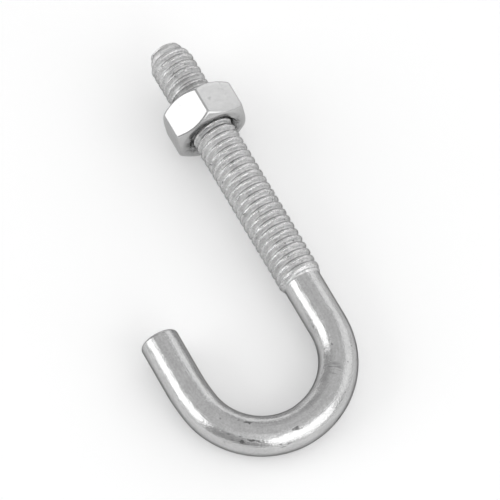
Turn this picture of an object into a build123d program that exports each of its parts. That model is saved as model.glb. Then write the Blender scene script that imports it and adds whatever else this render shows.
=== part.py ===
from build123d import *
import os
from math import cos, radians, tan

# J bolt: one length of round steel rod, bent into a J at one end and rolled with a
# right-hand screw thread at the other, and the hex nut that runs on that thread.
# The threaded length is a plain cylinder over the crests, and the nut's bore clears it:
# the thread's own turns are left off, because they need several times as many facets as
# all the rest.
#
# Millimetres. The origin is the inside of the bend, where the hooked bar bears.
# +Y runs from there towards the threaded tip, +X from the short leg towards the long
# shank, and +Z is square to the flat J.

# Thread, rolled, so that its crests stand prouder than the rod
PITCH = 25.4 / 18
THREAD_DIAMETER = 7.65
THREAD_LENGTH = 50.0  # plain shank to tip
RUN_OUT_LENGTH = 1.0  # cone where the rolled diameter falls back to the rod
TIP_FLAT_DIAMETER = 5.3
TIP_POINT_LENGTH = 2.6

# Rod and its bend, from the shank round to the leg
ROD_DIAMETER = 6.7
PLAIN_SHANK_LENGTH = 8.9
BEND_RADII = (14.4, 12.2, 35.0)  # to the rod's centreline
BEND_ANGLES = (79, 92, 9)
LEG_LENGTH = 8.8
LEG_END_ROUNDING = 0.6

# Nut
NUT_ACROSS_FLATS = 12.6
NUT_HEIGHT = 6.75
BARE_THREAD_TURNS = 8.06  # beyond the nut
NUT_CORNER_ANGLE = 23  # a corner, about the shank from +X towards -Z
NUT_FACE_DIAMETER = 0.94 * NUT_ACROSS_FLATS  # flat left inside the corner chamfers
NUT_CHAMFER_ANGLE = 33
NUT_COUNTERSINK_DIAMETER = 9.1
NUT_COUNTERSINK_ANGLE = 45
NUT_CLEARANCE = 0.05  # bore wall to thread crest, so that the nut runs free

ROD_RADIUS = ROD_DIAMETER / 2
CREST_RADIUS = THREAD_DIAMETER / 2


def turned(outline):
    """Solid turned about Z from half its outline."""
    return revolve(Plane.XZ * make_face(Polyline(outline, close=True)), Axis.Z)


def on_shank(height, turn=0):
    """Place on the shank for a piece made along +Z, turned about it from +X towards -Z."""
    return Pos(0, height, 0) * Rot(-90, 0, 0) * Rot(0, 0, turn)


def bend_route():
    """Centreline from the thread down the shank, round the bend and up the leg, and its lowest point."""
    route = [Line((0, PLAIN_SHANK_LENGTH), (0, 0))]
    lowest, turn = None, 0
    for radius, angle in zip(BEND_RADII, BEND_ANGLES):
        arc = JernArc(route[-1] @ 1, route[-1] % 1, radius, -angle)
        if turn < 90 <= turn + angle:
            lowest = arc @ ((90 - turn) / angle)
        turn += angle
        route.append(arc)
    end, ahead = route[-1] @ 1, route[-1] % 1
    route.append(Line(end, end + ahead * LEG_LENGTH))
    return Wire(route), lowest


def threaded_end():
    """Threaded end along +Z, from its run-out at Z = 0 to the pointed tip."""
    tip_radius = TIP_FLAT_DIAMETER / 2
    shoulder = THREAD_LENGTH - TIP_POINT_LENGTH
    outline = [
        (0, 0),
        (ROD_RADIUS, 0),
        (CREST_RADIUS, RUN_OUT_LENGTH),
        (CREST_RADIUS, shoulder),
        (tip_radius, THREAD_LENGTH),
        (0, THREAD_LENGTH),
    ]
    return turned(outline)


def hook_rod(route):
    """The whole rod: shank, bend and leg in one sweep, with the threaded end on top."""
    rod = sweep(Plane(origin=route @ 0, z_dir=route % 0) * Circle(ROD_RADIUS), path=route)
    leg_end = rod.faces().sort_by_distance(route @ 1)[0]
    rod = fillet(leg_end.edges(), LEG_END_ROUNDING)
    return rod + on_shank(PLAIN_SHANK_LENGTH) * threaded_end()


def hex_nut():
    """Hex nut along +Z, centred on its height, with a corner on +X."""
    half = NUT_HEIGHT / 2
    hexagon = RegularPolygon(NUT_ACROSS_FLATS / 2, 6, major_radius=False)
    nut = extrude(hexagon, half, both=True)

    # A cone takes the corners off both faces
    face = NUT_FACE_DIAMETER / 2
    wide = NUT_ACROSS_FLATS / 2 / cos(radians(30)) + 1
    drop = (wide - face) * tan(radians(NUT_CHAMFER_ANGLE))
    nut &= turned([(0, -half), (face, -half), (wide, drop - half), (wide, half - drop), (face, half), (0, half)])

    # Bore, countersunk at both ends
    bore = CREST_RADIUS + NUT_CLEARANCE
    mouth = NUT_COUNTERSINK_DIAMETER / 2
    neck = half - (mouth - bore) / tan(radians(NUT_COUNTERSINK_ANGLE))
    nut -= turned([(0, -half), (mouth, -half), (bore, -neck), (bore, neck), (mouth, half), (0, half)])
    return nut


route, lowest = bend_route()
to_origin = Pos(-lowest.X, -lowest.Y - ROD_RADIUS, 0)
nut_centre = PLAIN_SHANK_LENGTH + THREAD_LENGTH - BARE_THREAD_TURNS * PITCH - NUT_HEIGHT / 2

os.makedirs("parts", exist_ok=True)
export_step(to_origin * hook_rod(route), "parts/hook_rod.step")
export_step(to_origin * on_shank(nut_centre, NUT_CORNER_ANGLE) * hex_nut(), "parts/hex_nut.step")
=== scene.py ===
from math import asin, atan2, cos, hypot, pi, radians, sin, tan

import bmesh
import bpy
import numpy as np
from mathutils import Euler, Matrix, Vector


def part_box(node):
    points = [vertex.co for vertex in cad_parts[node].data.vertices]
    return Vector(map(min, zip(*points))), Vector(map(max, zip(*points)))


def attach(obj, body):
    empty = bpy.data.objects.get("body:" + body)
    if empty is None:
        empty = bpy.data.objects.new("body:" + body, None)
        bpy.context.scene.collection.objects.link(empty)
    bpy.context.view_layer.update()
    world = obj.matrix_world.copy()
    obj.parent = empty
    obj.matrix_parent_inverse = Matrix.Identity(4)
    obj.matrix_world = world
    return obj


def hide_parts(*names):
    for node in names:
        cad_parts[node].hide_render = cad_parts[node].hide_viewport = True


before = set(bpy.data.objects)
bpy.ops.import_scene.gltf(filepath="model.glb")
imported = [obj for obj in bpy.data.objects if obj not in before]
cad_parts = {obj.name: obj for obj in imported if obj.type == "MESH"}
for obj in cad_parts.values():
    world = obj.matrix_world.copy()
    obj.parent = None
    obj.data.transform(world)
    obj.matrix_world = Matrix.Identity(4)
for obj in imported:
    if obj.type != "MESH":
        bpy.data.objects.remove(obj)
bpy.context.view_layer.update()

MM = 0.001

# Sizes are millimetres, as in the part's source, except where a comment says metres. on_shank() and
# add_ring() turn places into metres.

# Thread: a rolled right-hand one. Its own frame has Z along the shank, with 0 at its run-out.
PITCH = 25.4 / 18
CREST_RADIUS = 3.825
THREAD_DEPTH = 0.66
ROOT_RADIUS = CREST_RADIUS - THREAD_DEPTH
CREST_FLAT = 0.35
FLANK = radians(30)  # from square to the axis
THREAD_LENGTH = 50.0
RUN_OUT = 1.0
RUN_OUT_STEP = 0.1  # how far above the plain rod the groove's root starts
START_ANGLE = radians(27)  # where the groove's middle crosses the end of the run-out
TIP_RADIUS = 2.65
TIP_POINT = 2.6
CREST_SOFTNESS = 0.05  # how far the roll rounds the thread's crest
ROOT_SOFTNESS = 0.15  # and its root
SEAM_DEPTH = 0.02  # the fold left along the crest where the rolled metal met
SEAM_WIDTH = 0.03
FAINT_GROOVE = 0.17  # what is left of the groove on the point
FAINT_START = 0.5  # length over which it fades in from the point's shoulder
FAINT_END = 0.3  # and out at the tip
GRID_START = -1.2  # where the thread's grid begins, on the plain shank

# Distances from the middle of the groove at which a flank is sampled, closer together at the corners
FLANK_PLACES = [0, 0.07, 0.12, 0.17, 0.24, 0.36, 0.47, 0.52, 0.56, 0.62, 0.68]

# Rod
ROD_RADIUS = 3.35
PLAIN_SHANK = 8.9
BEND = ((14.4, 79), (12.2, 92), (35.0, 9))  # centreline radius and angle, from the shank to the leg
LEG_LENGTH = 8.8
LEG_ROUNDING = 0.6

# Nut
NUT_FLATS = 12.6
NUT_HEIGHT = 6.75
BARE_PITCHES = 8.06  # of thread, from the nut to the tip
NUT_CENTRE = THREAD_LENGTH - BARE_PITCHES * PITCH - NUT_HEIGHT / 2
NUT_CORNER = radians(23)  # one corner, about the shank
NUT_FACE_RADIUS = 0.47 * NUT_FLATS
NUT_CHAMFER = radians(33)
NUT_MOUTH_RADIUS = 4.55
NUT_MINOR_RADIUS = 3.36
NUT_MAJOR_RADIUS = 3.97
NUT_RIDGE = 0.16  # half the internal ridge's width at its crest
NUT_RIDGE_SOFTNESS = 0.04
FLAT_EDGE_ROUNDING = 0.3  # chamfer to side, at the middle of a flat
CORNER_EDGE_ROUNDING = 0.9  # and at a corner
FACE_ROUNDING = 0.35
CORNER_ROUNDING = 0.45
LIP_ROUNDING = 0.07

# Meshes
AROUND = 84  # points round the rod
END_RINGS = (0.66, 0.33, 0.02)  # rings across a flat end, as shares of its radius
WELD = 2e-7  # metres within which points are joined
SHORTEST_EDGE = 1e-7  # metres
MOUTH_MARGIN = 1e-9  # within this of its end the bore has its full mouth radius

# Scuffs, the last of them partly painted shade, on the straightened rod: place (across, down, along), half
# length and half width
SCUFFS_AND_SHADE = (
    ((2.30, -2.43, -39.8), 3.6, 0.7),
    ((2.90, -1.70, -34.0), 1.6, 0.6),
    ((1.20, -3.13, -31.0), 1.6, 0.4),
    ((-0.75, -3.26, -39.5), 3.6, 0.3),
    # Partly real scuffing and partly painted shade: darkens the bend's outer right edge, where shade falls
    ((3.32, 0.35, -23.5), 4.5, 1.0),
)
GRIP_MARK = (-0.60, -3.30, -18.8)  # faint lines across the inside of the bend
BUMP_UNIT = 1e-5  # metres of relief for one unit of height in a material

# Stage and light
FLOOR_SIZE = 6  # metres
FLOOR_MIDDLE = Vector((13.98, 30, 0))  # on the shank's axis, about half way along the bolt
FLOOR_GREY = 0.9
FLOOR_GLOW = 0.1
SOFTBOX_DISTANCE = 1.2  # metres
SOFTBOX_AIM = Vector((0.01, 0.03, 0))  # metres

# Softboxes: name, compass angle from +X to +Y, lower and upper edge above level, half width, all three
# in degrees, and radiance
SOFTBOXES = (
    ("left_softbox", 160, (6, 42), 27, 1.75),
    ("front_softbox", -73, (10, 52), 32, 1.5),
    ("right_softbox", 2, (6, 46), 30, 0.7),
    ("right_low_softbox", 52, (4, 27), 20, 0.75),
    ("back_softbox", 84, (-4, 16), 14, 0.7),
    ("top_softbox", -90, (54, 76), 30, 0.25),
)

# Room: a place on its ramp, from walls to ceiling, and its grey there
WALLS = (0.55, 0.46)
CEILING = (0.78, 0.74)

# Camera
CAMERA_TARGET = Vector((9.05, 29.32, 0))
CAMERA_HEADING = radians(33.37)
CAMERA_ELEVATION = radians(61.79)
CAMERA_ROLL = radians(6.06)
CAMERA_DISTANCE = 0.6697  # metres
LENS = 287.4
SENSOR = 36


# ---------------------------------------------------------------- route of the rod

def route_of_rod(step=0.55):
    """Stations down the shank, round the bend and up the leg: centre, heading and distance run."""
    centre, heading, run = Vector((0, PLAIN_SHANK)), -pi / 2, 0.0
    stations = [(centre.copy(), heading, run)]
    for radius, turn in ((None, PLAIN_SHANK), *BEND, (None, LEG_LENGTH)):
        length = turn if radius is None else radius * radians(turn)
        count = max(2, round(length / step))
        for _ in range(count):
            bent = 0 if radius is None else length / count / radius
            middle = heading - bent / 2
            chord = length / count if radius is None else 2 * radius * sin(bent / 2)
            centre += chord * Vector((cos(middle), sin(middle)))
            heading -= bent
            run += length / count
            stations.append((centre.copy(), heading, run))
    return stations


def bottom_of_bend():
    """Lowest point of the centreline, a quarter turn round the bend from its start at 0, 0."""
    place, heading, left = Vector((0, 0)), -pi / 2, pi / 2
    for radius, turn in BEND:
        part = min(radians(turn), left)
        middle = heading - part / 2
        place += 2 * radius * sin(part / 2) * Vector((cos(middle), sin(middle)))
        heading -= part
        left -= part
    return place


STATIONS = route_of_rod()
LOWEST = bottom_of_bend()
ORIGIN = Vector((-LOWEST.x, -LOWEST.y - ROD_RADIUS))  # puts the inside of the bend at the origin


def on_shank(x, y, z):
    """A place in the thread's frame, in the part's frame and in metres."""
    return np.stack([x + ORIGIN.x, z + PLAIN_SHANK + ORIGIN.y, -y], axis=-1) * MM


# ---------------------------------------------------------------- thread form

def soft_above(value, floor, softness):
    """value, or floor where that is more, with the corner between them rounded."""
    return floor + (value - floor + np.sqrt((value - floor) ** 2 + softness ** 2)) / 2


def groove_radius(offset):
    """Radius of the thread at a distance along the axis from the middle of its groove."""
    offset = np.abs((offset + PITCH / 2) % PITCH - PITCH / 2)
    half_root = (PITCH - CREST_FLAT) / 2 - THREAD_DEPTH * tan(FLANK)
    flank = ROOT_RADIUS + (offset - half_root) / tan(FLANK)
    lower = soft_above(flank, ROOT_RADIUS, ROOT_SOFTNESS)
    rounded = -soft_above(-lower, -CREST_RADIUS, CREST_SOFTNESS)
    return rounded - SEAM_DEPTH * np.exp(-(((PITCH / 2 - offset) / SEAM_WIDTH) ** 2))


def envelope(z):
    """Radius of the blank: rod, run-out cone, thread crest, and point at the tip."""
    return np.interp(
        z,
        [0, RUN_OUT, THREAD_LENGTH - TIP_POINT, THREAD_LENGTH],
        [ROD_RADIUS, CREST_RADIUS, CREST_RADIUS, TIP_RADIUS],
    )


def thread_radius(angle, z):
    """Radius of the threaded end: the groove sinks to its full depth over one pitch."""
    groove = groove_radius(z - RUN_OUT - PITCH * (angle - START_ANGLE) / (2 * pi))
    lift = np.interp(z, [RUN_OUT, RUN_OUT + PITCH], [ROD_RADIUS + RUN_OUT_STEP - ROOT_RADIUS, 0])
    point = THREAD_LENGTH - TIP_POINT
    faint = np.interp(z, [point, point + FAINT_START, THREAD_LENGTH - FAINT_END, THREAD_LENGTH], [0, 1, 1, 0])
    faint *= FAINT_GROOVE * (CREST_RADIUS - groove) / THREAD_DEPTH
    return np.minimum(groove + lift, envelope(z) - faint)


def pitch_samples():
    """Places over one pitch, from the middle of the groove."""
    return FLANK_PLACES + [PITCH / 2] + [PITCH - place for place in FLANK_PLACES[:0:-1]]


def helix_rows(low, high, groove_at):
    """Rows that run along the thread, as heights at angle 0, enough to fill low to high all round."""
    samples = pitch_samples()
    first = int(np.floor((low - groove_at) / PITCH)) - 1
    last = int(np.ceil((high - groove_at) / PITCH)) + 1
    return np.array([groove_at + turn * PITCH + place for turn in range(first, last) for place in samples])


def helix_faces(rows, around, per_pitch):
    """Quads of a grid whose rows climb one pitch in a turn, so that each meets itself a turn on."""
    faces = []
    for row in range(rows - 1):
        for column in range(around - 1):
            corner = row * around + column
            faces.append((corner, corner + 1, corner + around + 1, corner + around))
        if row + per_pitch + 1 < rows:
            corner, onward = row * around + around - 1, (row + per_pitch) * around
            faces.append((corner, onward, onward + around, corner + around))
    return faces


def ring_faces(rings, around, start=0):
    """Quads between closed rings."""
    faces = []
    for ring in range(rings - 1):
        for column in range(around):
            corner = start + ring * around + column
            beside = start + ring * around + (column + 1) % around
            faces.append((corner, beside, beside + around, corner + around))
    return faces


def new_piece(name, points, faces, coordinates=None):
    """Mesh object from welded points, smooth, with the straightened rod's coordinates if given."""
    mesh = bpy.data.meshes.new(name)
    mesh.from_pydata(points.tolist(), [], faces)
    if coordinates is not None:
        layer = mesh.attributes.new("straight", "FLOAT_VECTOR", "POINT")
        layer.data.foreach_set("vector", coordinates.astype(np.float32).ravel())
    form = bmesh.new()
    form.from_mesh(mesh)
    bmesh.ops.remove_doubles(form, verts=form.verts, dist=WELD)
    bmesh.ops.dissolve_degenerate(form, edges=form.edges, dist=SHORTEST_EDGE)
    bmesh.ops.recalc_face_normals(form, faces=form.faces)
    form.to_mesh(mesh)
    form.free()
    mesh.shade_smooth()
    piece = bpy.data.objects.new(name, mesh)
    bpy.context.collection.objects.link(piece)
    return piece


# ---------------------------------------------------------------- the bolt

def bolt_rod():
    """The rod as one closed skin: tip, thread, shank, bend and leg."""
    angles = np.arange(AROUND) * 2 * pi / AROUND
    groove_at = RUN_OUT - PITCH * START_ANGLE / (2 * pi)
    base = helix_rows(GRID_START, THREAD_LENGTH, groove_at)
    z = np.clip(base[:, None] + PITCH * angles[None, :] / (2 * pi), GRID_START, THREAD_LENGTH)
    angle = np.broadcast_to(angles, z.shape)
    radius = thread_radius(angle, z)
    points = [on_shank(radius * np.cos(angle), radius * np.sin(angle), z).reshape(-1, 3)]
    straight = [np.stack([radius * np.cos(angle), radius * np.sin(angle), z], -1).reshape(-1, 3)]
    faces = helix_faces(len(base), AROUND, len(pitch_samples()))
    start = z.size

    def add_ring(centre, side, ring_radius, along):
        """A ring of the rod: side is the in-plane direction of its outer side."""
        across = ring_radius * np.cos(angles)
        down = ring_radius * np.sin(angles)
        points.append(np.stack([centre.x + across * side.x, centre.y + across * side.y, -down], -1) * MM)
        straight.append(np.stack([across, down, np.full(AROUND, along)], -1))

    # Shank, bend and leg, then the rounded end of the leg and its face
    grid_end = (Vector((0, PLAIN_SHANK + GRID_START)), -pi / 2, -GRID_START)
    last_ring = STATIONS[-1][2] - LEG_ROUNDING
    for centre, heading, run in [grid_end] + STATIONS[1:]:
        if -GRID_START <= run <= last_ring:
            add_ring(centre + ORIGIN, Vector((-sin(heading), cos(heading))), ROD_RADIUS, -run)
    centre, heading, run = STATIONS[-1]
    side, ahead = Vector((-sin(heading), cos(heading))), Vector((cos(heading), sin(heading)))
    for turn in np.linspace(0, pi / 2, 8).tolist():
        back = LEG_ROUNDING * (1 - sin(turn))
        inset = LEG_ROUNDING * (1 - cos(turn))
        add_ring(centre + ORIGIN - back * ahead, side, ROD_RADIUS - inset, -run + back)
    for share in END_RINGS:
        add_ring(centre + ORIGIN, side, (ROD_RADIUS - LEG_ROUNDING) * share, -run)
    rings = len(points) - 1
    faces += ring_faces(rings, AROUND, start)
    tip = start + rings * AROUND
    faces.append(tuple(range(tip - AROUND, tip)))

    # Face of the tip
    tip_rings = (1, 0.96, *END_RINGS)
    for share in tip_rings:
        across, down = TIP_RADIUS * share * np.cos(angles), TIP_RADIUS * share * np.sin(angles)
        height = np.full(AROUND, THREAD_LENGTH)
        points.append(on_shank(across, down, height))
        straight.append(np.stack([across, down, height], -1))
    faces += ring_faces(len(tip_rings), AROUND, tip)
    end = tip + len(tip_rings) * AROUND
    faces.append(tuple(range(end - AROUND, end)))
    piece = new_piece("bolt_rod", np.concatenate(points), faces, np.concatenate(straight))
    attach(piece, "rod")
    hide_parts("hook_rod")
    return piece


# ---------------------------------------------------------------- the nut

def hexagon_radius(angle):
    """Radius of the nut's rounded hexagon at an angle from a corner."""
    from_corner = np.abs((angle + pi / 6) % (pi / 3) - pi / 6)
    arc_centre = (NUT_FLATS / 2 - CORNER_ROUNDING) / cos(pi / 6)
    flat = NUT_FLATS / 2 / np.cos(pi / 6 - from_corner)
    under = np.clip(CORNER_ROUNDING ** 2 - (arc_centre * np.sin(from_corner)) ** 2, 0, None)
    arc = arc_centre * np.cos(from_corner) + np.sqrt(under)
    arc_end = atan2(CORNER_ROUNDING / 2, arc_centre + CORNER_ROUNDING * cos(pi / 6))
    return np.where(from_corner < arc_end, arc, flat)


def rounded_corner(before, corner, after, radius, steps):
    """Points of the arc that rounds a corner of a profile."""
    back, ahead = (before - corner).normalized(), (after - corner).normalized()
    half = back.angle(ahead) / 2
    middle = corner + (back + ahead).normalized() * (radius / sin(half))
    first = corner + back * (radius / tan(half)) - middle
    last = corner + ahead * (radius / tan(half)) - middle
    return [middle + first.lerp(last, step / steps).normalized() * radius for step in range(steps + 1)]


def nut_profile(outer):
    """Upper half of the nut's section where its side stands at `outer`, from the bore's lip outwards."""
    top = NUT_HEIGHT / 2
    shoulder = Vector((NUT_FACE_RADIUS, top))
    edge = Vector((outer, top - (outer - NUT_FACE_RADIUS) * tan(NUT_CHAMFER)))
    lip = [
        Vector((NUT_MOUTH_RADIUS + LIP_ROUNDING * (1 - cos(turn)), top - LIP_ROUNDING * (1 - sin(turn))))
        for turn in (0, pi / 6, pi / 3, pi / 2)
    ]
    cornered = (outer / (NUT_FLATS / 2) - 1) / (1 / cos(pi / 6) - 1)
    rounding = FLAT_EDGE_ROUNDING + (CORNER_EDGE_ROUNDING - FLAT_EDGE_ROUNDING) * cornered
    face = rounded_corner(lip[-1], shoulder, edge, FACE_ROUNDING, 4)
    side = rounded_corner(shoulder, edge, Vector((outer, 0)), rounding, 8)
    return lip + face + side


def nut_angles():
    """Angles round the nut, closer together at its corners."""
    near = (0, 0.7, 1.4, 2.2, 4, 8, 13, 19, 25)
    steps = list(near) + [30] + [60 - place for place in near[:0:-1]]
    return np.array([radians(60 * side + step) for side in range(6) for step in steps])


def nut():
    """Hex nut with chamfered faces, countersunk mouths and an internal thread."""
    angles = nut_angles()
    around = len(angles)
    profiles = [nut_profile(outer) for outer in hexagon_radius(angles)]
    half = np.array([[(place.x, place.y) for place in profile] for profile in profiles]).transpose(1, 0, 2)
    sides = np.linspace(1, -1, 9)[1:-1]
    wall = [np.stack([half[-1, :, 0], half[-1, :, 1] * share], -1) for share in sides]
    lower = half[::-1].copy()
    lower[..., 1] *= -1
    rings = np.concatenate([half, np.array(wall), lower])
    turned = angles + NUT_CORNER
    radius, z = rings[..., 0], rings[..., 1] + NUT_CENTRE
    points = [on_shank(radius * np.cos(turned), radius * np.sin(turned), z).reshape(-1, 3)]
    faces = ring_faces(len(rings), around)

    # Bore: the thread's ridges, cut back by the countersink at both mouths
    limit = NUT_HEIGHT / 2 - LIP_ROUNDING
    groove_at = RUN_OUT - PITCH * (START_ANGLE - NUT_CORNER) / (2 * pi)
    base = helix_rows(NUT_CENTRE - limit, NUT_CENTRE + limit, groove_at)
    height = base[:, None] + PITCH * angles[None, :] / (2 * pi)
    height = np.clip(height, NUT_CENTRE - limit, NUT_CENTRE + limit)
    offset = np.abs((base - groove_at + PITCH / 2) % PITCH - PITCH / 2)[:, None]
    flank = NUT_MINOR_RADIUS + (offset - NUT_RIDGE) / tan(FLANK)
    ridge = np.minimum(soft_above(flank, NUT_MINOR_RADIUS, NUT_RIDGE_SOFTNESS), NUT_MAJOR_RADIUS)
    inside = limit - np.abs(height - NUT_CENTRE)
    bore = np.where(inside < MOUTH_MARGIN, NUT_MOUTH_RADIUS, np.maximum(ridge, NUT_MOUTH_RADIUS - inside))
    points.append(on_shank(bore * np.cos(turned), bore * np.sin(turned), height).reshape(-1, 3))
    start = len(points[0])
    bore_faces = helix_faces(len(base), around, len(pitch_samples()))
    faces += [tuple(start + corner for corner in face) for face in bore_faces]
    piece = new_piece("nut", np.concatenate(points), faces)
    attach(piece, "nut")
    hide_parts("hex_nut")
    return piece


# ---------------------------------------------------------------- materials

class Graph:
    """A material's nodes, with short ways to add and join them."""

    def __init__(self, name):
        self.material = bpy.data.materials.new(name)
        self.material.use_nodes = True
        self.tree = self.material.node_tree
        self.shader = self.tree.nodes["Principled BSDF"]

    def add(self, kind, inputs, output=0, **settings):
        """A new node with its settings and inputs, as one of its outputs."""
        node = self.tree.nodes.new(kind)
        for key, value in settings.items():
            setattr(node, key, value)
        for key, value in inputs.items():
            self.set(node.inputs[key], value)
        return node.outputs[output]

    def set(self, socket, value):
        """Give a socket another node's output or a plain value."""
        if isinstance(value, bpy.types.NodeSocket):
            self.tree.links.new(value, socket)
        else:
            socket.default_value = value

    def maths(self, operation, first, second):
        return self.add("ShaderNodeMath", {0: first, 1: second}, operation=operation)

    def times(self, first, second):
        return self.maths("MULTIPLY", first, second)

    def weighted(self, base, *parts):
        """base, plus each value times its weight."""
        for value, weight in parts:
            base = self.maths("ADD", base, self.times(value, weight))
        return base

    def stretched(self, vector, factors):
        return self.add("ShaderNodeVectorMath", {0: vector, 1: factors}, operation="MULTIPLY")

    def length(self, vector):
        return self.add("ShaderNodeVectorMath", {0: vector}, output="Value", operation="LENGTH")

    def distance(self, vector, place, factors=(1, 1, 1)):
        """How far vector is from a place, with each axis counted by its factor."""
        apart = self.add("ShaderNodeVectorMath", {0: vector, 1: place}, operation="SUBTRACT")
        return self.length(self.stretched(apart, factors))

    def noise(self, vector, scale, detail, seed):
        """Soft noise from 0 to 1; features are about 1 / scale across, in the vector's units."""
        inputs = {"Vector": vector, "W": seed, "Scale": scale, "Detail": detail, "Roughness": 0.55}
        return self.add("ShaderNodeTexNoise", inputs, noise_dimensions="4D")

    def between(self, value, low, high, start=0.0, end=1.0):
        """start up to low, end from high on, and smooth between."""
        inputs = {"Value": value, "From Min": low, "From Max": high, "To Min": start, "To Max": end}
        return self.add("ShaderNodeMapRange", inputs, interpolation_type="SMOOTHSTEP")

    def grey(self, value):
        return self.add("ShaderNodeCombineColor", {"Red": value, "Green": value, "Blue": value})


def zinc_shader(graph, grey, roughness, height, edge):
    """Bright zinc plating: a grey metal whose edges reflect less than its face."""
    shader = graph.shader
    graph.set(shader.inputs["Base Color"], graph.grey(grey))
    graph.set(shader.inputs["Roughness"], roughness)
    shader.inputs["Metallic"].default_value = 1
    shader.inputs["Specular Tint"].default_value = (edge, edge, edge, 1)
    bump = graph.add("ShaderNodeBump", {"Height": height, "Distance": BUMP_UNIT, "Strength": 1.0})
    graph.set(shader.inputs["Normal"], bump)


def rod_zinc():
    """Plated bar: streaks along the rod, a matt rolled thread with smoother crests, pits, and scuffs, one
    patch of which is partly painted shade on the bend's outer edge.
    """
    graph = Graph("rod_zinc")
    straight = graph.add("ShaderNodeAttribute", {}, output="Vector", attribute_name="straight")
    along = graph.add("ShaderNodeSeparateXYZ", {0: straight}, output="Z")
    radius = graph.length(graph.stretched(straight, (1, 1, 0)))
    thread = graph.between(along, -0.3, 0.5)
    crest = graph.times(graph.between(radius, 3.58, 3.76), thread)

    grain = graph.between(graph.noise(straight, 3.4, 3, 1), 0.28, 0.72)
    mottle = graph.noise(straight, 0.55, 4, 2)
    streaks = graph.noise(graph.stretched(straight, (1, 1, 0.13)), 1.7, 3, 3)
    lines = graph.between(graph.noise(graph.stretched(straight, (1, 1, 0.08)), 3.2, 3, 8), 0.3, 0.7)
    ripples = graph.noise(graph.stretched(straight, (0.4, 0.4, 2.0)), 2.3, 4, 4)
    ripples = graph.times(graph.between(ripples, 0.3, 0.7), thread)
    pits = graph.weighted(graph.noise(straight, 1.15, 3, 5), (thread, 0.04))
    pits = graph.between(pits, 0.66, 0.74)

    # Scuffs: short scratches in patches, inside the places that are rubbed; on the bend's outer right edge
    # they are partly painted shade
    rubbed_and_shaded = 0.0
    for place, length, width in SCUFFS_AND_SHADE:
        apart = graph.distance(straight, place, (1 / width, 1 / width, 1 / length))
        rubbed_and_shaded = graph.maths("MAXIMUM", graph.between(apart, 0.3, 1.3, 1, 0), rubbed_and_shaded)
    patches = graph.noise(graph.stretched(straight, (1, 1, 0.5)), 1.5, 2, 6)
    scratches = graph.noise(graph.stretched(straight, (1, 1, 0.6)), 5.0, 3, 7)
    scratches = graph.times(scratches, graph.between(patches, 0.35, 0.65))
    scratches = graph.times(scratches, graph.between(rubbed_and_shaded, 0, 0.7))
    marks_and_shade = graph.maths("MAXIMUM", pits, graph.between(scratches, 0.2, 0.5))

    # Faint lines across the inside of the bend
    gripped = graph.noise(graph.stretched(straight, (0.5, 0.5, 3.0)), 1.0, 2, 9)
    near = graph.between(graph.distance(straight, GRIP_MARK), 0.6, 1.8, 1, 0)
    gripped = graph.times(graph.between(gripped, 0.45, 0.6), near)

    grain_share = graph.between(thread, 0, 1, 0.07, 0.22)
    level = graph.weighted(
        0.42, (mottle, 0.12), (grain, grain_share), (lines, 0.05), (crest, -0.06), (ripples, 0.10)
    )
    # Pits and scuffs darken the colour; on the bend's outer right edge this darkening is partly painted shade
    level = graph.times(level, graph.between(marks_and_shade, 0, 1, 1, 0.38))
    level = graph.times(level, graph.between(gripped, 0, 1, 1, 0.72))
    rough = graph.weighted(0.12, (mottle, 0.14), (thread, 0.19), (crest, -0.28))
    grain_height = graph.between(thread, 0, 1, 1.2, 1.9)
    height = graph.weighted(
        0.0, (grain, grain_height), (streaks, 6.0), (mottle, 9.0), (ripples, 5.0), (marks_and_shade, -2.0)
    )
    zinc_shader(graph, level, rough, height, 0.2)
    return graph.material


def nut_zinc():
    """Plated nut: smooth flats, faintly mottled and stained, with patchy painted shade round the bore's
    mouth.
    """
    graph = Graph("nut_zinc")
    place = graph.add("ShaderNodeTexCoord", {}, output="Object")
    place = graph.stretched(place, (1 / MM, 1 / MM, 1 / MM))
    grain = graph.noise(place, 3.0, 3, 11)
    mottle = graph.noise(place, 0.5, 4, 12)
    axis_distance = graph.distance(place, (ORIGIN.x, 0, 0), (1, 0, 1))
    # Painted shade: the faces darken in patches round the bore's mouth, where they mirror something dark
    painted_mouth_shade = graph.between(graph.noise(place, 1.5, 4, 13), 0.38, 0.6)
    painted_mouth_shade = graph.times(graph.between(axis_distance, 4.5, 6.1, 1, 0), painted_mouth_shade)
    stain = graph.between(graph.noise(place, 0.9, 4, 14), 0.55, 0.75)

    level = graph.weighted(0.43, (mottle, 0.10), (grain, 0.05))
    level = graph.times(level, graph.between(painted_mouth_shade, 0, 1, 1, 0.4))
    level = graph.times(level, graph.between(stain, 0, 1, 1, 0.85))
    rough = graph.weighted(0.15, (mottle, 0.10))
    height = graph.weighted(0.0, (grain, 0.5), (mottle, 3.0))
    zinc_shader(graph, level, rough, height, 0.7)
    return graph.material


# ---------------------------------------------------------------- scene

def floor_tilt():
    """Slope of the floor that carries both the bend and the nut's lowest corner."""
    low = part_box("hex_nut")[0]
    reach, drop = low[1] / MM + ROD_RADIUS, -low[2] / MM
    return atan2(drop, reach) - asin(ROD_RADIUS / hypot(drop, reach))


def floor_material():
    """Plain white sheet, a little of whose white is its own wherever it is seen or mirrored."""
    graph = Graph("floor")
    path = graph.tree.nodes.new("ShaderNodeLightPath").outputs
    seen = graph.maths("MAXIMUM", path["Is Camera Ray"], path["Is Glossy Ray"])
    seen = graph.maths("MAXIMUM", seen, path["Is Transmission Ray"])
    shader = graph.shader
    shader.inputs["Base Color"].default_value = (FLOOR_GREY, FLOOR_GREY, FLOOR_GREY, 1)
    shader.inputs["Roughness"].default_value = 1
    shader.inputs["Specular IOR Level"].default_value = 0
    shader.inputs["Emission Color"].default_value = (1, 1, 1, 1)
    graph.set(shader.inputs["Emission Strength"], graph.times(seen, FLOOR_GLOW))
    return graph.material


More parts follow.
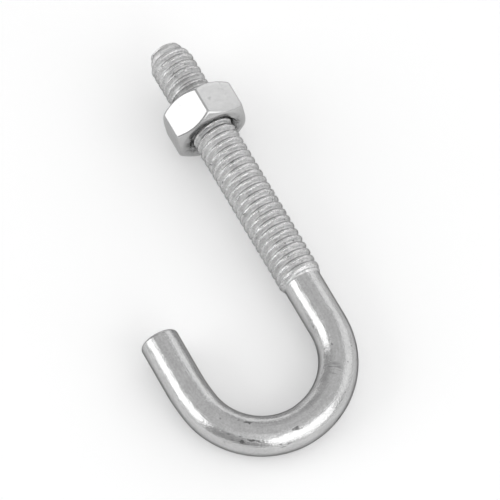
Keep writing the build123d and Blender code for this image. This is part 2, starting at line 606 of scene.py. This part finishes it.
def add_floor():
    """A wide plain white floor."""
    tilt = floor_tilt()
    bpy.ops.mesh.primitive_plane_add(size=FLOOR_SIZE)
    floor = bpy.context.object
    floor.name = "floor"
    normal = Vector((0, sin(tilt), cos(tilt)))
    floor.rotation_euler = (-tilt, 0, 0)
    bottom = Vector((0, -ROD_RADIUS, 0)) - ROD_RADIUS * normal
    along_floor = FLOOR_MIDDLE - normal * FLOOR_MIDDLE.dot(normal)
    floor.location = (bottom + along_floor) * MM
    floor.data.materials.append(floor_material())


def add_softbox(name, turn, lifts, spread, radiance):
    """Softbox facing the bolt: turn, lifts and spread are degrees as seen from where it aims."""
    low, high = lifts
    data = bpy.data.lights.new(name, "AREA")
    data.shape = "RECTANGLE"
    data.size = 2 * SOFTBOX_DISTANCE * tan(radians(spread))
    data.size_y = 2 * SOFTBOX_DISTANCE * tan(radians(high - low) / 2)
    data.energy = radiance * pi * data.size * data.size_y
    lamp = bpy.data.objects.new(name, data)
    turn, lift = radians(turn), radians(low + high) / 2
    aim = Vector((cos(turn) * cos(lift), sin(turn) * cos(lift), sin(lift)))
    lamp.location = SOFTBOX_AIM + aim * SOFTBOX_DISTANCE
    lamp.rotation_mode = "QUATERNION"
    lamp.rotation_quaternion = aim.to_track_quat("Z", "Y")
    bpy.context.collection.objects.link(lamp)


def add_room():
    """Even light from a pale ceiling, with darker walls all round."""
    world = bpy.data.worlds.new("room")
    world.use_nodes = True
    nodes, links = world.node_tree.nodes, world.node_tree.links
    place = nodes.new("ShaderNodeTexCoord")
    parts = nodes.new("ShaderNodeSeparateXYZ")
    level = nodes.new("ShaderNodeValToRGB")
    ramp = level.color_ramp.elements
    for stop, (position, grey) in zip(ramp, (WALLS, CEILING)):
        stop.position = position
        stop.color = (grey, grey, grey, 1)
    links.new(place.outputs["Generated"], parts.inputs[0])
    links.new(parts.outputs["Z"], level.inputs["Fac"])
    links.new(level.outputs["Color"], nodes["Background"].inputs["Color"])
    bpy.context.scene.world = world


def add_camera():
    """Long lens, looking down on the bolt from the hook's side."""
    data = bpy.data.cameras.new("camera")
    data.lens = LENS
    data.sensor_width = SENSOR
    camera = bpy.data.objects.new("camera", data)
    level = cos(CAMERA_ELEVATION)
    ahead = Vector((sin(CAMERA_HEADING) * level, cos(CAMERA_HEADING) * level, -sin(CAMERA_ELEVATION)))
    camera.location = CAMERA_TARGET * MM - ahead * CAMERA_DISTANCE
    camera.rotation_mode = "QUATERNION"
    facing = ahead.to_track_quat("-Z", "Y")
    camera.rotation_quaternion = facing @ Euler((0, 0, CAMERA_ROLL)).to_quaternion()
    bpy.context.collection.objects.link(camera)
    bpy.context.scene.camera = camera


rod_piece = bolt_rod()
nut_piece = nut()
rod_piece.data.materials.append(rod_zinc())
nut_piece.data.materials.append(nut_zinc())
add_floor()
for softbox in SOFTBOXES:
    add_softbox(*softbox)
add_camera()
add_room()
bpy.context.scene.view_settings.view_transform = "Standard"
